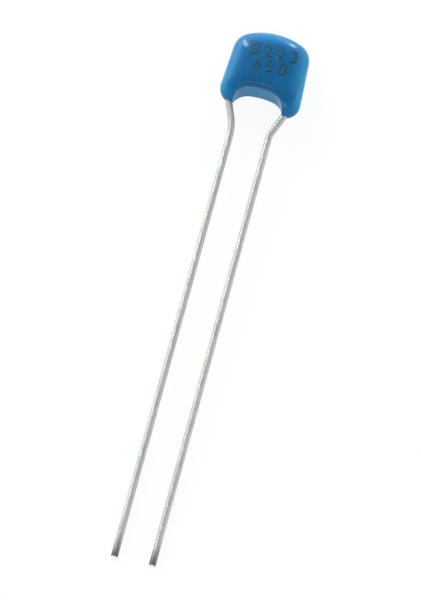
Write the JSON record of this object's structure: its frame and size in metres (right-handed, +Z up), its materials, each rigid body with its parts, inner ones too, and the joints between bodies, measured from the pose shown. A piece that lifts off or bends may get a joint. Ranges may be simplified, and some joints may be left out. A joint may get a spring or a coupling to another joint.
{
  "type": "multilayer ceramic capacitor",
  "caption": "Dipped radial-lead capacitor: a layered ceramic chip with metal end caps, soldered between formed wire leads inside a rounded glossy epoxy coating with short legs.",
  "frame": {"origin": "on the surface that it lies on, under the middle of the whole part", "axes": "+X across the two leads, +Y from the lead tips towards the crown of the body, +Z up from the back to the front face"},
  "size_m": [0.0054, 0.0374, 0.0025],
  "materials": {
    "coating": "glossy dipped epoxy",
    "lead_wire": "tinned, satin",
    "ceramic": "fine sintered, matt",
    "electrode": "fired nickel",
    "termination": "fired silver, satin",
    "solder": "bright solder"
  },
  "bodies": {
    "root": {"epoxy_coating": "coating", "left_lead": "lead_wire", "right_lead": "lead_wire", "dielectric_block": "ceramic", "left_electrodes": "electrode", "right_electrodes": "electrode", "left_termination": "termination", "right_termination": "termination", "left_solder": "solder", "right_solder": "solder"}
  },
  "joints": []
}
